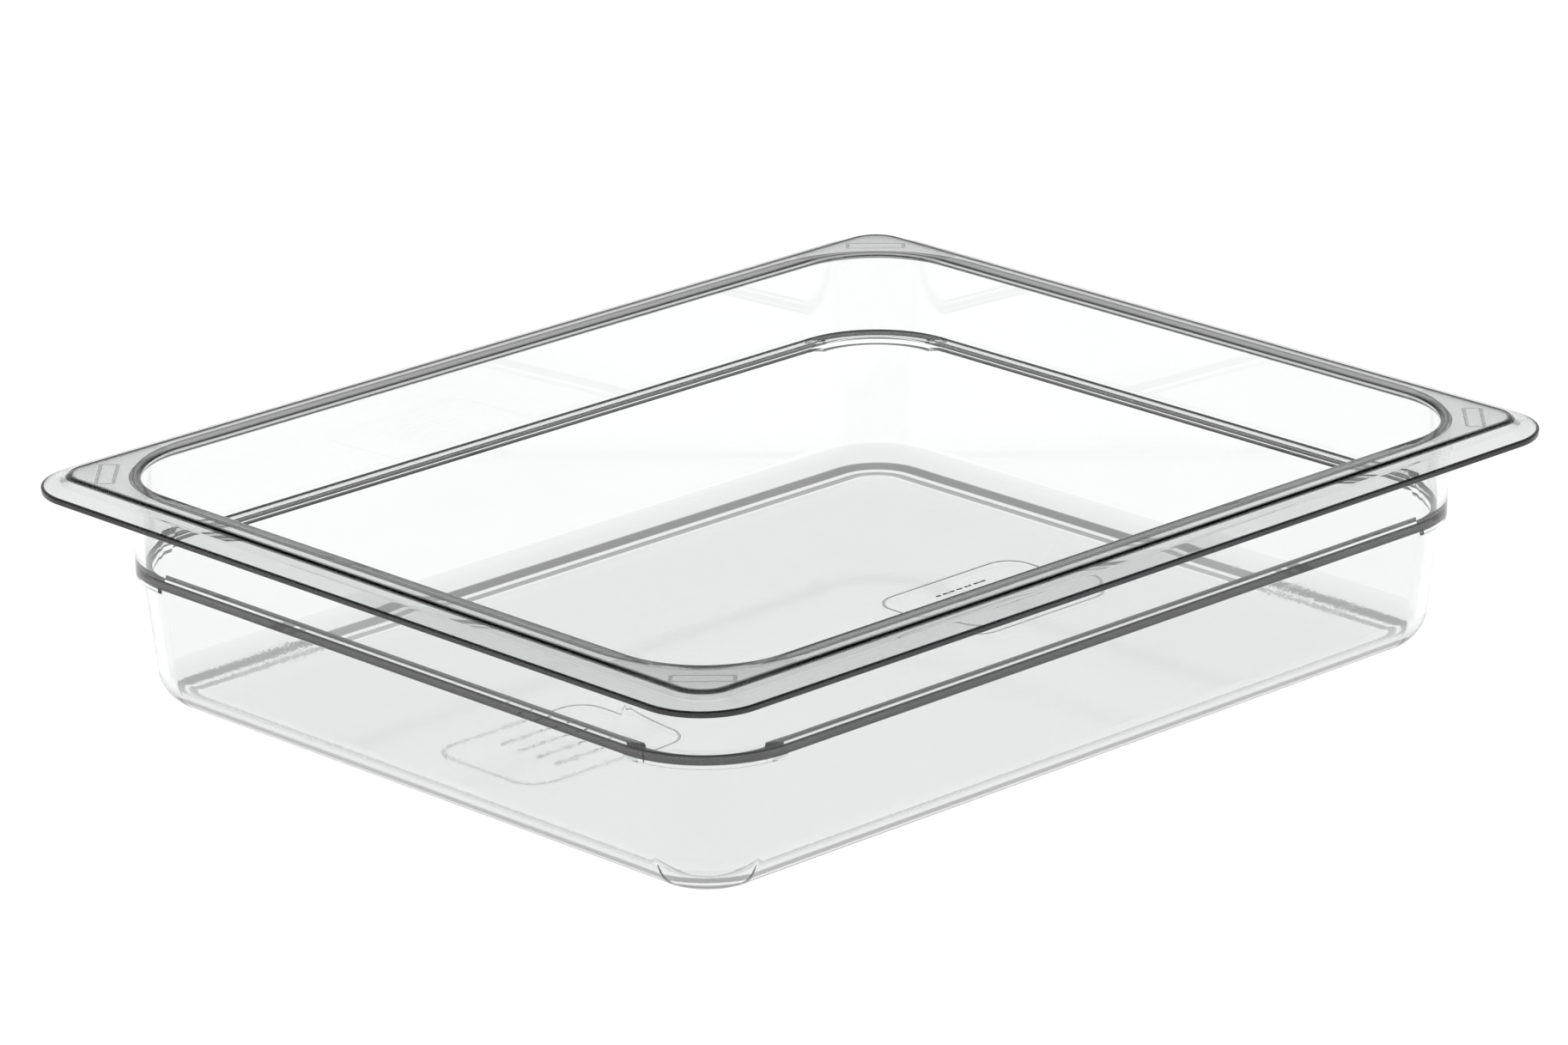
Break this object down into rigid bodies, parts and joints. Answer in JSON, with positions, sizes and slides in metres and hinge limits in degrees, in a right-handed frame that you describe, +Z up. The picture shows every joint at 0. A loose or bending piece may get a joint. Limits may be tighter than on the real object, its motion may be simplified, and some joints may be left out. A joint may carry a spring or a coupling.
{
  "type": "food pan",
  "caption": "Clear half-size deli food pan: shallow tapered basin with a stacking ledge, a raised flat rim with corner pads and a sloping outer lip.",
  "frame": {"origin": "centre of the underside, on the surface the pan stands on", "axes": "+X along the long side, +Y along the short side, +Z up out of the mouth"},
  "size_m": [0.325, 0.265, 0.065],
  "materials": {
    "clear_polycarbonate": "clear, polished"
  },
  "bodies": {
    "root": {"floor_panel": "clear_polycarbonate", "bottom_bend": "clear_polycarbonate", "lower_wall": "clear_polycarbonate", "stacking_ledge": "clear_polycarbonate", "stacking_corners": "clear_polycarbonate", "upper_wall": "clear_polycarbonate", "rim_platform": "clear_polycarbonate", "corner_pads": "clear_polycarbonate", "sloping_lip": "clear_polycarbonate", "floor_marks": "clear_polycarbonate", "pad_marks": "clear_polycarbonate"}
  },
  "joints": []
}
